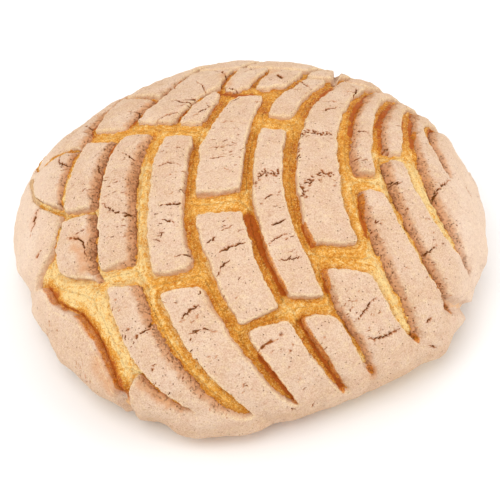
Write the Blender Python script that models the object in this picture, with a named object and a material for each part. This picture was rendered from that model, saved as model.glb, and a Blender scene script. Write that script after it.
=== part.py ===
"""Concha: a round sweet bun with a topping of pale sugar paste cut into a shell pattern.

The bread is one low dome with a flat foot. The paste is a skin on it, cut by curved grooves that
run from front to back and by short gaps across the ribs between them, so it is a rim with ribs
standing on it and, inside the rim, many separate tiles.

The pattern is drawn on a flat map of the dome: a point of the map lies as far from the middle as
its place on the dome lies from the apex, measured along the surface, and in the same direction.
+X of the map is the right-hand side, +Y the back. Map sizes are in millimetres, and lift()
takes a map point and a height above the bread to metres in space.
"""
import math

import bmesh
import bpy
from mathutils import Vector
from mathutils.geometry import delaunay_2d_cdt

MM = 0.001

# the loaf, in mm, measured on the outer face of the paste
RADIUS = 62.0            # at the widest ring
HEIGHT = 45.5
WIDEST = 13.0            # height of the widest ring
FOOT_RADIUS = 50.0       # where the outer face would reach the floor
BREAD_FOOT = 46.5        # flat foot of the bread
SIDE_POWER = 2.15        # how full the dome is towards its side
TOP_POWER = 2.05         # and towards its top
# the plan isn't quite round: radius factors for cos and sin of 1, 2, 3 ... times the angle
PLAN_COS = (0.0, 0.0015, 0.0124, 0.0077, -0.0124)
PLAN_SIN = (0.0, 0.0305, 0.0045, -0.0161, 0.0040)

CENTRE_Y = 0.57          # puts the middle of the bounding box over the origin

PASTE = 3.2              # thickness of the paste
GAP = 0.3                # between the paste and the bread
RIM_GAP = 1.1            # the same where the rim turns under
SHOULDER = 0.8           # bevel round the top of each tile
WALL_SLOPE = 0.25        # how far a tile's wall spreads on its way down
RIM_EDGE = 86.0          # map radius of the rim's lower edge
RIM_WAVES = ((2, 0.9, 0.4), (5, 0.7, 1.9), (9, 0.6, 0.3))   # times round, height, phase

# Grooves: the left and the right edge, each as two arcs that meet at the edge's leftmost point:
# (x and y of that point, radius towards the back, radius towards the front), then the y of the
# groove's back and front ends.
GROOVES = {
    "b": ((-52.4, -24, 110, 186), (-51.2, -20, 100, 150), 13, -13),
    "c": ((-43.0, -23, 92, 25), (-39.9, -22, 94, 62), 30, -35),
    "d": ((-32.2, -17, 64, 80), (-25.9, -15, 70, 80), 14, -77),
    "e": ((-17.4, -11.5, 79, 83), (-13.4, -8, 56, 89), 28, -75),
    "f": ((-2.6, -12, 110, 71), (1.0, -10, 87, 71), 31, -71),
    "g": ((8.0, -4, 70, 74), (12.5, -4, 69, 77), 32, -64),
    "h": ((21.9, 1, 77, 69), (27.0, 8, 60, 74), 30, -50),
    "i": ((31.4, 8, 71, 53), (35.1, 11, 45, 53), 32, -37),
    "j": ((39.6, 9, 98, 34), (44.6, 18, 40, 45), 30, -22),
}
TAPER = 5.0              # length over which a groove closes at its front end
TIP = 0.6                # share of the width that is left at the tip

# Gaps across a rib: the groove left of the rib, then y on the left and right end of the upper
# edge and of the lower edge.
GAPS = (
    ("b", 19.5, 15.5, 13.5, 10.5), ("b", -10.0, -12.6, -13.6, -15.2),
    ("c", 18.0, 15.2, 11.5, 10.0), ("c", -33.0, -30.0, -37.6, -38.6),
    ("d", 13.6, 12.8, 8.2, 7.2), ("d", -36.4, -34.0, -41.0, -40.0),
    ("e", 29.5, 28.0, 24.5, 23.8), ("e", -14.0, -12.0, -20.0, -20.0),
    ("e", -51.8, -48.0, -53.8, -52.0),
    ("f", 15.5, 15.0, 8.5, 8.2), ("f", -46.0, -45.0, -51.4, -50.5),
    ("g", -31.0, -27.5, -38.2, -36.4),
    ("h", -4.0, -3.0, -10.5, -10.0),
    ("i", 5.5, 7.5, 2.5, 3.6),
)
# Narrow grooves, mostly on the back: points of the middle line, with the width at each.
NARROW = (
    # the long grooves run on down the back
    ((-46.2, 11, 1.6), (-43.2, 22, 1.7), (-41.6, 31, 1.7), (-38.5, 41, 1.8), (-33, 52, 1.8),
     (-25.5, 65, 1.3)),
    ((-27.0, 28, 2.6), (-22.0, 36, 2.0), (-16.0, 46, 2.0), (-8.5, 57, 2.0), (-2, 69, 1.3)),
    ((-8.0, 26, 3.0), (-7.0, 33, 1.6), (-4.0, 42, 1.8), (3.0, 54, 1.9), (10, 69, 1.3)),
    ((10.3, 29, 3.0), (14.8, 39, 2.2), (20.0, 49, 2.0), (27.0, 60, 2.0), (31, 68, 1.3)),
    ((19.0, 30, 4.0), (23.5, 39, 2.5), (30.0, 49, 2.1), (38.0, 59, 1.8), (41, 63, 1.3)),
    ((29.2, 28, 3.8), (32.5, 37, 2.4), (39.0, 47, 2.0), (47.5, 57, 1.3)),
    ((37.3, 30, 3.4), (41.0, 39, 2.2), (47.5, 47, 1.9), (55, 53, 1.3)),
    ((43.2, 28, 3.0), (46.8, 37, 2.2), (52.5, 43, 1.8), (60, 47, 1.2)),
    ((-20.4, 12, 4.0), (-19.2, 17, 1.8), (-16.5, 22, 1.5), (-11.5, 27.5, 1.5), (-6.5, 31, 1.7)),
    # joints between tiles up there
    ((-39.5, 42, 1.8), (-34.0, 37.5, 1.7), (-26.0, 29.5, 1.8)),
    ((0.3, 28, 1.8), (2.6, 35, 1.6), (6.5, 43.5, 1.6)),
    ((-33.0, 53, 2.4), (-12.5, 51, 2.4)),
    ((-17.0, 45, 2.2), (-3.0, 44.5, 2.2)),
    ((-5.0, 61, 2.2), (7.5, 60.5, 2.2)),
    ((-2.0, 44.0, 2.2), (17.0, 43.0, 2.2)),
    ((4.0, 56.0, 2.2), (24.0, 55.5, 2.2)),
    ((13.0, 37.0, 2.0), (23.0, 38.0, 2.0)),
    ((23.0, 54.0, 2.2), (34.0, 53.0, 2.2)),
    ((23.5, 40.0, 2.2), (34.0, 39.5, 2.2)),
    ((33.0, 37.5, 2.0), (40.5, 36.0, 2.0)),
    ((40.0, 48.5, 2.0), (48.0, 47.5, 2.0)),
    ((41.0, 37.0, 1.9), (47.0, 35.5, 1.9)),
    # grooves that part the tiles on the left
    ((-51.0, -10, 1.8), (-52.6, -15, 1.5), (-53.9, -19.5, 1.6), (-56, -23, 2.4)),
    ((-50.6, -10.5, 2.6), (-54.5, -7.0, 2.2), (-58.5, -3.0, 1.6), (-61.5, 2.5, 1.3),
     (-63.5, 12, 1.3), (-61.5, 25, 1.4), (-56, 37, 1.6), (-48, 50, 1.7), (-41, 61, 1.3)),
    ((-45.5, 12, 1.4), (-52, 14.5, 1.4), (-64.5, 15, 1.6)),
    ((-40, 36.5, 1.8), (-58, 34.5, 1.8)),
    ((-34.5, 50, 2.0), (-50, 48, 2.0)),
    # and the one that parts the last rib on the right
    ((54.4, 6.5, 1.2), (51.5, 11.5, 1.5), (49.4, 17, 1.7), (48.6, 23, 1.8), (51, 30, 1.8),
     (57, 36.5, 1.7), (65, 40, 1.2)),
)
# Bare bread in front on the left, where the paste has parted from the rim: its outline.
BARE = ((-66, -28.5), (-60, -23.5), (-54, -21), (-53.3, -25), (-52.6, -29.6), (-40.3, -34.8),
        (-38.4, -33.4), (-36.5, -38), (-34, -46), (-28.4, -58.5), (-22, -66.5), (-15.5, -72.2),
        (-15.2, -73.2), (-23, -67.5), (-30.5, -60.5), (-33.5, -65.5), (-36.5, -65.5),
        (-37.2, -57.5), (-40, -50), (-46, -42), (-52.5, -38.6), (-58, -34.5), (-61, -29.8))
NARROWEST = 1.3          # of a long groove, at its tips
SMALLEST = 14.0          # a scrap of paste under this area, in mm2, is left out
STEP = 3.4               # spacing of the points on an outline
CELL = 6.0               # spacing of the points inside one


# ---------------------------------------------------------------- the dome

def profile():
    """Arc length, outer point and bread point, from the apex down to the floor."""
    rows = []
    thick = PASTE + GAP
    n = 240
    for i in range(n + 1):
        t = 0.5 * math.pi * i / n
        s, c = math.sin(t), math.cos(t)
        rows.append((RADIUS * s ** (2 / SIDE_POWER),
                     WIDEST + (HEIGHT - WIDEST) * c ** (2 / TOP_POWER)))
    n = 80
    for i in range(1, n + 1):
        u = i / n
        rows.append((FOOT_RADIUS + (RADIUS - FOOT_RADIUS) * math.sqrt(1 - u * u), WIDEST * (1 - u)))
    out, length = [], 0.0
    for i, (r, z) in enumerate(rows):
        if i:
            length += math.dist(rows[i - 1], (r, z))
        if i <= 240:
            a, b = rows[max(i - 1, 0)], rows[min(i + 1, 240)]
            dr, dz = b[0] - a[0], b[1] - a[1]
            if i == 0:
                dr, dz = 1.0, 0.0
            if i == 240:
                dr, dz = 0.0, -1.0
            d = math.hypot(dr, dz)
            inner = (r + thick * dz / d, z - thick * dr / d)
        else:
            side = RADIUS - thick - BREAD_FOOT
            inner = (BREAD_FOOT + side * (r - FOOT_RADIUS) / (RADIUS - FOOT_RADIUS), z)
        out.append((length, (r, z), inner))
    return out


PROFILE = profile()
FLOOR_S = PROFILE[-1][0]


def at(s):
    """Outer and bread point of the profile at arc length s."""
    s = min(max(s, 0.0), FLOOR_S)
    lo, hi = 0, len(PROFILE) - 1
    while hi - lo > 1:
        mid = (lo + hi) // 2
        if PROFILE[mid][0] <= s:
            lo = mid
        else:
            hi = mid
    a, b = PROFILE[lo], PROFILE[hi]
    f = (s - a[0]) / (b[0] - a[0])
    mix = [tuple(p + (q - p) * f for p, q in zip(a[k], b[k])) for k in (1, 2)]
    return mix[0], mix[1]


def plan(angle):
    """Radius factor of the plan at an angle."""
    k = 1.0
    for n in range(5):
        k += PLAN_COS[n] * math.cos((n + 1) * angle) + PLAN_SIN[n] * math.sin((n + 1) * angle)
    return k


def lift(x, y, height):
    """Map point and height above the bread, both in mm, to a point in metres."""
    outer, inner = at(math.hypot(x, y))
    angle = math.atan2(y, x)
    f = height / (PASTE + GAP)
    r = (inner[0] + (outer[0] - inner[0]) * f) * plan(angle)
    z = inner[1] + (outer[1] - inner[1]) * f
    return Vector((r * math.cos(angle), r * math.sin(angle) + CENTRE_Y, z)) * MM


# ---------------------------------------------------------------- the pattern on the map

def arc_x(edge, y):
    """x of a groove's edge at y: an arc on each side of its leftmost point."""
    x, y0, back, front = edge
    r = back if y > y0 else front
    d = min(abs(y - y0), 0.9 * r)
    return x + r - math.sqrt(r * r - d * d)


def groove_outline(name):
    left, right, back, front = GROOVES[name]
    n = max(8, round((back - front) / 2.5))
    a, b = [], []
    for i in range(n + 1):
        y = front + (back - front) * i / n
        share = TIP + (1 - TIP) * min(1.0, (y - front) / TAPER) ** 0.7
        if name in "bc":                # these two run on into another groove
            share = 1.0
        xl, xr = arc_x(left, y), arc_x(right, y)
        mid, half = 0.5 * (xl + xr), 0.5 * max((xr - xl) * share, NARROWEST)
        a.append((mid - half, y))
        b.append((mid + half, y))
    return b + a[::-1]


def gap_outline(name, upper_left, upper_right, lower_left, lower_right):
    """A gap across the rib right of the named groove, from the middle of one groove to the next."""
    names = list(GROOVES)
    here = GROOVES[name]
    there = GROOVES[names[names.index(name) + 1]]

    def middle(g, y):
        return 0.5 * (arc_x(g[0], y) + arc_x(g[1], y))
    return [(middle(here, upper_left), upper_left), (middle(here, lower_left), lower_left),
            (middle(there, lower_right), lower_right), (middle(there, upper_right), upper_right)]


def ribbon(stations):
    """Outline of a groove given by the points of its middle line and its width at each."""
    a, b = [], []
    for i, (x, y, w) in enumerate(stations):
        p, q = stations[max(i - 1, 0)], stations[min(i + 1, len(stations) - 1)]
        d = math.hypot(q[0] - p[0], q[1] - p[1])
        nx, ny = -(q[1] - p[1]) / d * w / 2, (q[0] - p[0]) / d * w / 2
        a.append((x + nx, y + ny))
        b.append((x - nx, y - ny))
    return a + b[::-1]


def rim_radius(angle):
    return RIM_EDGE + sum(h * math.sin(n * angle + p) for n, h, p in RIM_WAVES)


def area(loop):
    return 0.5 * sum(loop[i - 1][0] * p[1] - p[0] * loop[i - 1][1] for i, p in enumerate(loop))


def inside(x, y, loops):
    hit = False
    for loop in loops:
        for i, (bx, by) in enumerate(loop):
            ax, ay = loop[i - 1]
            if (ay > y) != (by > y) and x < ax + (y - ay) * (bx - ax) / (by - ay):
                hit = not hit
    return hit


def rounded(loop):
    """The same closed outline with soft corners, and only the points that it needs."""
    fine = []
    for i, p in enumerate(loop):
        a = loop[i - 1]
        n = max(1, round(math.dist(a, p) / 0.5))
        fine += [(a[0] + (p[0] - a[0]) * k / n, a[1] + (p[1] - a[1]) * k / n) for k in range(n)]
    m = len(fine)
    for _ in range(5):
        fine = [tuple((fine[i - 1][k] + 2 * fine[i][k] + fine[(i + 1) % m][k]) / 4 for k in (0, 1))
                for i in range(m)]
    kept, run, turn = [], 0.0, 0.0
    for i in range(m):
        a, b, c = fine[i - 1], fine[i], fine[(i + 1) % m]
        run += math.dist(a, b)
        u = math.atan2(b[1] - a[1], b[0] - a[0])
        v = math.atan2(c[1] - b[1], c[0] - b[0])
        turn += abs(math.remainder(v - u, 2 * math.pi))
        if run >= STEP or (turn > 0.6 and run > 0.7):
            kept.append(b)
            run, turn = 0.0, 0.0
    return kept


def crossing(a, b, c, d):
    def side(p, q, r):
        return (q[0] - p[0]) * (r[1] - p[1]) - (q[1] - p[1]) * (r[0] - p[0])
    return side(a, b, c) * side(a, b, d) < 0 and side(c, d, a) * side(c, d, b) < 0


def grown(loop, distance):
    """The outline moved outwards, or inwards when the distance is negative; less at sharp tips."""
    side = 1.0 if area(loop) > 0 else -1.0
    n = len(loop)
    reach = [distance * side] * n
    for _ in range(12):
        out = []
        for i, (x, y) in enumerate(loop):
            (ax, ay), (bx, by) = loop[i - 1], loop[(i + 1) % n]
            u = Vector((x - ax, y - ay)).normalized()
            v = Vector((bx - x, by - y)).normalized()
            away = Vector((u.y + v.y, -u.x - v.x))
            if away.length < 1e-6:
                away = Vector((u.y, -u.x))
            away.normalize()
            k = reach[i] / max(0.75, away.dot(Vector((u.y, -u.x))))
            out.append((x + away.x * k, y + away.y * k))
        crowded = set()
        for i in range(n):
            for j in range(i + 1, n):
                if crossing(out[i - 1], out[i], out[j - 1], out[j]):
                    crowded |= {(i + k) % n for k in (-2, -1, 0, 1)}
                    crowded |= {(j + k) % n for k in (-2, -1, 0, 1)}
        if not crowded:
            return out
        for i in crowded:
            reach[i] *= 0.6
    return list(loop)


def chained(edges):
    """Closed loops from directed edges between keys."""
    follow = {}
    for a, b in edges:
        follow.setdefault(a, []).append(b)
    loops = []
    while follow:
        start = next(iter(follow))
        loop, here = [start], start
        while True:
            nxt = follow[here].pop()
            if not follow[here]:
                del follow[here]
            if nxt == start:
                break
            loop.append(nxt)
            here = nxt
        loops.append(loop)
    return loops


def paste_pieces():
    """The paste between the grooves: for each piece its outer loop and its holes, on the map."""
    rim = [(rim_radius(a) * math.cos(a), rim_radius(a) * math.sin(a))
           for a in (2 * math.pi * i / 180 for i in range(180))]
    shapes = [rim] + [groove_outline(n) for n in GROOVES] + [gap_outline(*g) for g in GAPS]
    shapes += [list(BARE)] + [ribbon(line) for line in NARROW]
    verts, faces = [], []
    for shape in shapes:
        loop = shape if area(shape) > 0 else shape[::-1]
        faces.append(list(range(len(verts), len(verts) + len(loop))))
        verts += [Vector(p) for p in loop]
    verts, _, cells, _, _, origin = delaunay_2d_cdt(verts, [], faces, 1, 1e-4)
    paste = [c for c, ids in zip(cells, origin) if list(ids) == [0]]
    owner = {}
    for i, c in enumerate(paste):
        for a, b in zip(c, c[1:] + c[:1]):
            owner[(a, b)] = i
    group = [-1] * len(paste)
    count = 0
    for i in range(len(paste)):
        if group[i] >= 0:
            continue
        stack = [i]
        group[i] = count
        while stack:
            c = paste[stack.pop()]
            for a, b in zip(c, c[1:] + c[:1]):
                j = owner.get((b, a), -1)
                if j >= 0 and group[j] < 0:
                    group[j] = count
                    stack.append(j)
        count += 1
    pieces = []
    for g in range(count):
        edges = [e for e, i in owner.items() if group[i] == g and group_of(owner, group, e) != g]
        loops = [[tuple(verts[k]) for k in loop] for loop in chained(edges)]
        loops = [loop for loop in loops if abs(area(loop)) > SMALLEST]
        if loops and max(area(loop) for loop in loops) > SMALLEST:
            loops = [rounded(loop) for loop in sorted(loops, key=lambda l: -abs(area(l)))]
            pieces.append(loops)
    return pieces


def group_of(owner, group, edge):
    i = owner.get((edge[1], edge[0]), -1)
    return group[i] if i >= 0 else -1


# ---------------------------------------------------------------- solids

def clear(point, loops, distance):
    """Whether a point is at least this far from every side of the loops."""
    for loop in loops:
        for i, b in enumerate(loop):
            a = loop[i - 1]
            dx, dy = b[0] - a[0], b[1] - a[1]
            t = ((point[0] - a[0]) * dx + (point[1] - a[1]) * dy) / max(dx * dx + dy * dy, 1e-9)
            t = min(max(t, 0.0), 1.0)
            if math.hypot(a[0] + dx * t - point[0], a[1] + dy * t - point[1]) < distance:
                return False
    return True


def lattice(loops):
    """Points inside the loops: a triangular grid on the dome, rings where it turns under."""
    xs = [p[0] for p in loops[0]]
    ys = [p[1] for p in loops[0]]
    found = []
    edge = 66.0
    rows = range(math.floor(min(ys) / (CELL * 0.866)), math.ceil(max(ys) / (CELL * 0.866)) + 1)
    for j in rows:
        y = j * CELL * 0.866
        for i in range(math.floor(min(xs) / CELL) - 1, math.ceil(max(xs) / CELL) + 2):
            p = ((i + 0.5 * (j % 2)) * CELL, y)
            if math.hypot(*p) < edge:
                found.append(p)
    n = 80
    for k in range(5):
        for a in (2 * math.pi * (i + 0.5 * (k % 2)) / n for i in range(n)):
            r = rim_radius(a) - 3.2 - 3.5 * k
            found.append((r * math.cos(a), r * math.sin(a)))
    return [p for p in found if inside(p[0], p[1], loops) and clear(p, loops, CELL * 0.42)]


def cap(bm, rings, extra):
    """Fill the rings of vertices, given with their map points, and the extra points with triangles."""
    loops = [[p for p, _ in ring] for ring in rings]
    points = [p for loop in loops for p in loop] + [p for p, _ in extra]
    made = [v for ring in rings for _, v in ring] + [v for _, v in extra]
    edges, start = [], 0
    for loop in loops:
        n = len(loop)
        edges += [(start + i, start + (i + 1) % n) for i in range(n)]
        start += n
    out, _, faces, source, _, _ = delaunay_2d_cdt([Vector(p) for p in points], edges, [], 0, 1e-5)
    if len(out) != len(points):
        raise ValueError("the outline crosses itself")
    turned = [made[source[i][0]] for i in range(len(out))]
    for f in faces:
        x = sum(out[i].x for i in f) / 3
        y = sum(out[i].y for i in f) / 3
        if inside(x, y, loops):
            bm.faces.new([turned[i] for i in f])


def underside(p):
    """Height above the bread of a piece's underside."""
    turn = min(max((math.hypot(*p) - 62.0) / 12.0, 0.0), 1.0)
    return GAP + (RIM_GAP - GAP) * turn


def slab(name, loops, material):
    """One piece of paste on the bread, its wall spreading a little downwards, its top bevelled."""
    bm = bmesh.new()
    top_height = GAP + PASTE
    levels = ((WALL_SLOPE, underside), (0.0, lambda p: top_height - SHOULDER),
              (-SHOULDER, lambda p: top_height))
    rings = []
    for spread, height in levels:
        level = []
        for loop in loops:
            hole = loop is not loops[0]
            moved = grown(loop, -spread if hole else spread)
            level.append([(p, bm.verts.new(lift(p[0], p[1], height(p)))) for p in moved])
        rings.append(level)
    for low, high in zip(rings, rings[1:]):
        for a, b in zip(low, high):
            for i in range(len(a)):
                bm.faces.new((a[i - 1][1], a[i][1], b[i][1], b[i - 1][1]))
    spots = lattice([[p for p, _ in ring] for ring in rings[2]])
    for level, height in ((rings[0], levels[0][1]), (rings[2], levels[2][1])):
        extra = [(p, bm.verts.new(lift(p[0], p[1], height(p)))) for p in spots]
        cap(bm, level, extra)
    bmesh.ops.triangulate(bm, faces=bm.faces[:])
    bmesh.ops.recalc_face_normals(bm, faces=bm.faces[:])
    return finish(name, bm, material)


def bread(name, material):
    """The loaf: a dome that turns under to a flat foot."""
    bm = bmesh.new()
    around = 72
    stops = [7 * k for k in range(1, 10)] + [68, 72.5, 76.6, 80.5, 84.3, 88.2, 92.2, FLOOR_S]
    apex = bm.verts.new(lift(0, 0, 0))
    rings = []
    for k, s in enumerate(stops):
        n = around // 3 if k < 2 else around
        rings.append([bm.verts.new(lift(s * math.cos(a), s * math.sin(a), 0))
                      for a in (2 * math.pi * i / n for i in range(n))])
    first = rings[0]
    for i in range(len(first)):
        bm.faces.new((apex, first[i - 1], first[i]))
    for low, high in zip(rings, rings[1:]):
        n, m = len(low), len(high)
        if n == m:
            for i in range(n):
                bm.faces.new((low[i - 1], high[i - 1], high[i], low[i]))
        else:
            for i in range(n):
                a, b = low[i], low[(i + 1) % n]
                c = [high[(3 * i + k) % m] for k in range(4)]
                for tri in ((a, c[0], c[1]), (a, c[1], b), (b, c[1], c[2]), (b, c[2], c[3])):
                    bm.faces.new(tri)
    foot = rings[-1]
    for v in foot:
        v.co.z = 0.0
    bm.faces.new(foot[::-1])
    bmesh.ops.triangulate(bm, faces=bm.faces[:])
    bmesh.ops.recalc_face_normals(bm, faces=bm.faces[:])
    return finish(name, bm, material)


def finish(name, bm, material):
    mesh = bpy.data.meshes.new(name)
    bm.to_mesh(mesh)
    bm.free()
    mesh.shade_smooth()
    mesh.set_sharp_from_angle(angle=math.radians(35))
    mesh.materials.append(material)
    thing = bpy.data.objects.new(name, mesh)
    bpy.context.scene.collection.objects.link(thing)
    return thing


def plain(name, color, roughness):
    material = bpy.data.materials.new(name)
    material.use_nodes = True
    shader = material.node_tree.nodes["Principled BSDF"]
    shader.inputs["Base Color"].default_value = (*color, 1.0)
    shader.inputs["Roughness"].default_value = roughness
    shader.inputs["Metallic"].default_value = 0.0
    return material


def main():
    for thing in list(bpy.data.objects):
        bpy.data.objects.remove(thing)
    crumb = plain("bread", (0.71, 0.33, 0.07), 0.62)
    sugar = plain("paste", (0.84, 0.62, 0.45), 0.85)
    bread("bun", crumb)
    pieces = paste_pieces()
    rim = max(pieces, key=lambda loops: max(math.hypot(*p) for p in loops[0]))
    slab("paste_rim", rim, sugar)
    tiles = [loops for loops in pieces if loops is not rim]
    tiles.sort(key=lambda loops: -sum(p[1] for p in loops[0]) / len(loops[0]))
    for i, loops in enumerate(tiles):       # from the back to the front
        slab("tile_%02d" % (i + 1), loops, sugar)


main()
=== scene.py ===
"""The looks of the concha: baked bread under a cut and cracked skin of sugar paste.

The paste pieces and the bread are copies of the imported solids, remeshed finely and then worked
over on the same flat map of the dome that they were designed on: a point of the map lies as far
from the middle as its place on the dome lies from the apex, along the surface, and in the same
direction. +X is the right-hand side, +Y the back. Map sizes are in millimetres.
"""
import itertools
import math
import random

import bpy
import numpy as np
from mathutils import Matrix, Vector
from mathutils.kdtree import KDTree


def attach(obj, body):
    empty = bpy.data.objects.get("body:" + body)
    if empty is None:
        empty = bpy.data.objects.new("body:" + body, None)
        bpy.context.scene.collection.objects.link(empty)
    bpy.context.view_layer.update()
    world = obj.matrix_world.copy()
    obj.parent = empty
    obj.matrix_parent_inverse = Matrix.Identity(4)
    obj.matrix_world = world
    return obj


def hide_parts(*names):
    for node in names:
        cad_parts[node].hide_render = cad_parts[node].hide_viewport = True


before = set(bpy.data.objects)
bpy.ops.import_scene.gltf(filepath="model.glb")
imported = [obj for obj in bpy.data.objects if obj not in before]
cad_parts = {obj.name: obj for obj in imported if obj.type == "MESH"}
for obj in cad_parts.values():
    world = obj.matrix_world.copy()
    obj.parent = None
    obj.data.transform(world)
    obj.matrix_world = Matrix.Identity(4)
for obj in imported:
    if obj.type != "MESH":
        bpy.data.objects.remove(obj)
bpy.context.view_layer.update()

bl_info = {
    "name": "Concha",
    "version": (1, 0, 0),
    "blender": (4, 5, 0),
    "location": "3D View > Sidebar > Concha",
    "description": "Dresses a packed concha: bread, sugar paste and a pale studio",
    "category": "Object",
}

MM = 0.001

# The loaf, in mm, as the solids have it.
RADIUS = 62.0
HEIGHT = 45.5
WIDEST = 13.0
FOOT_RADIUS = 50.0
BREAD_FOOT = 46.5
SIDE_POWER = 2.15
TOP_POWER = 2.05
PLAN_COS = (0.0, 0.0015, 0.0124, 0.0077, -0.0124)
PLAN_SIN = (0.0, 0.0305, 0.0045, -0.0161, 0.0040)
CENTRE_Y = 0.57
SKIN = 3.5  # from the bread to the outer face of the paste
GAP = 0.3  # and to its inner face
WALL_TOP = 2.7  # height of a tile's wall, below its bevel
EDGE_STEP = 0.3  # spacing of the samples along the edges of the tiles
SLOPE_BACK = 1.5  # how far a slope towards the middle runs out, at the back
SLOPE_FRONT = 3.0  # and at the front
SLOPE_CLEAR = 1.3  # and how much of the groove before it stays open
RECESS = 1.4  # how far the skirt has shrunk back from the bare bread
SKIRT = 80.0  # from here down, on the map, the skirt has no grooves
MORE_CRACKS = 46  # small cracks scattered about the back and the sides
TORN = 0.06  # how much of a long slope's edge is torn
CRACK_REACH = (0.6, 0.34)  # how near a crack the mesh of a top is made finer, then finer still
CAMERA_TILT = 44.0  # degrees that it looks down
CAMERA_AWAY = 0.6  # metres from the middle of the loaf
CAMERA_DROP = 0.00781  # metres below the middle where it aims
MIDDLE = 20.475  # height of the middle of the loaf
LENS = 163.45
# The studio's lights: name, place in metres, size and power.
LIGHTS = (
    ("key", (-0.30, -0.55, 1.10), 0.9, 7.2), ("left", (-1.10, -0.15, 0.50), 0.8, 2.9),
    ("right", (1.10, -0.25, 0.50), 0.8, 5.2), ("back", (0.1, 0.8, 0.9), 0.9, 2.6),
)
SKY = 0.68  # and the strength of the even light all round
# How the edges of the paste wander: how far, over what length, and what turns the two ways apart.
WANDER = ((0.20, 3.6, 0.3), (0.13, 1.4, 0.7), (0.09, 0.7, 0.9))

# Cracks in the paste: width, depth, then the points that each runs through on the map.
CRACKS = (
    (0.45, 0.9, (-33.1, 3.6), (-29.9, 0.9)),
    (0.5, 0.9, (-39, -12.7), (-35.4, -16.8), (-29.9, -18.2), (-27.5, -17.5)),
    (0.75, 1.2, (-23, -17.7), (-18.5, -17.3), (-16.3, -16.8)),
    (0.4, 0.7, (-23.5, -4), (-20.8, -3.2), (-17.6, -4.5)),
    (0.45, 0.8, (-21.7, -21.8), (-18.5, -22.7)), (0.35, 0.6, (-23.6, -27), (-21.4, -27.6)),
    (0.35, 0.6, (-10.4, 1), (-7, 1.2), (-3.5, 2.3)), (0.35, 0.6, (-10.4, -3), (-6.5, -2.4)),
    (0.45, 0.8, (-10.4, -29), (-8, -27.3)), (0.75, 1.2, (-7.2, -31.8), (-4, -30.4), (-1.3, -30)),
    (0.5, 0.9, (-8, -38.2), (-6.8, -35.6), (-5, -34.5)),
    (0.5, 0.9, (-16.7, -48.2), (-14.5, -46), (-12.2, -45)),
    (0.4, 0.8, (-15, -51.8), (-11.5, -51), (-8.5, -52)),
    (0.5, 0.9, (-30, -53), (-27.6, -50.4), (-24.5, -49)),
    (0.9, 0.6, (-49.5, -20), (-47, -21.5), (-45, -21.8)),
    (0.45, 0.8, (-14.9, 35.5), (-13, 31.5), (-12.2, 27.7)),
    (0.4, 0.7, (-22.6, 25.5), (-20, 24.6), (-17.6, 22.7)),
    (1.1, 0.7, (1.8, -59), (3.5, -57.6), (5.5, -56.8), (7.5, -56.5)),
    (0.45, 0.8, (3.5, -17.7), (7, -16.4)), (0.55, 1, (5.7, -26), (9.4, -24.5)),
    (0.4, 0.7, (4.8, -31.4), (7.4, -29.6), (9.8, -29)),
    (0.4, 0.7, (7.5, -36.2), (10.5, -36.2), (13.9, -35.3)),
    (0.45, 0.8, (13, 8.2), (16.5, 7.4), (20.7, 7.7)), (0.4, 0.7, (13, -11.4), (14.4, -15.5)),
    (0.55, 1.1, (29.4, -50.9), (31.6, -48.6), (33, -45.5), (34.8, -42.7)),
    (0.55, 1.1, (34.4, -54.5), (38, -53.2), (40.6, -51.6), (43.5, -49)),
    (0.35, 0.6, (33.9, -5.5), (36.5, -6.4), (39.4, -5.6)),
    (0.45, 0.8, (47.5, -26), (49, -23.4), (50.3, -21.8)),
    (0.5, 0.9, (49.8, -9), (50, -3.6), (52.5, 1), (54.4, 3.6)),
    (0.45, 0.8, (51.2, -44.5), (52.5, -42.3)),
    (0.5, 1, (-52.5, 14), (-52.2, 9.6), (-50.5, 7.5), (-48.3, 6.3)),
    (0.6, 1, (-57.8, -0.5), (-58.9, -4), (-60.6, -9), (-62.6, -12)),
    (1.3, 1.2, (-59.6, -6), (-60.6, -7.6)), (0.5, 0.9, (-34.5, 24), (-31, 24), (-30.7, 19)),
    (0.8, 1.2, (-20.4, 24.8), (-18.3, 23.3), (-16.3, 23.3)),
    (0.7, 1.2, (-22.9, 37), (-21.3, 33.8)), (0.4, 0.8, (-12, 22), (-11, 20)),
    (0.8, 1.3, (8.2, 34.8), (8.8, 33.8)), (0.4, 0.8, (-10, 44), (-9.5, 42)),
    (0.4, 0.8, (0.5, 43), (0, 40.5)), (0.8, 1.4, (50.6, -3.2), (49.7, -4.4), (49.8, -8)),
    (0.45, 0.9, (35, -5.2), (37, -5.4), (39.6, -5.8)), (0.5, 0.9, (56, -49.2), (60, -48.6)),
    (0.45, 0.9, (-33, -18.5), (-30.5, -17.5)), (0.45, 0.8, (-40.5, 2.5), (-39.5, -0.5)),
    (0.5, 1, (-47.2, -20.6), (-44.6, -23), (-43.6, -27)), (0.6, 1, (-28.8, 32), (-26.6, 28.4)),
    (0.5, 0.9, (-47.8, 27), (-45.4, 23.2), (-43, 21.4)),
    (0.6, 1, (-10.2, 43.4), (-7.7, 40.3), (-6.2, 35.2)), (0.6, 1.1, (-18.8, 24.6), (-15.1, 24.8)),
    (0.7, 1.1, (13.2, 37), (14.6, 32), (16.6, 29.8)), (1.6, 1.6, (7.6, 37), (8.8, 34.6)),
    (0.7, 1.1, (26.4, 36.6), (29.2, 33.9), (27.9, 29)), (0.5, 0.8, (19.2, 23), (22.6, 23.4)),
    (0.6, 1, (25.8, 11), (28.2, 11.8), (30.6, 11.3)),
)
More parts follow.
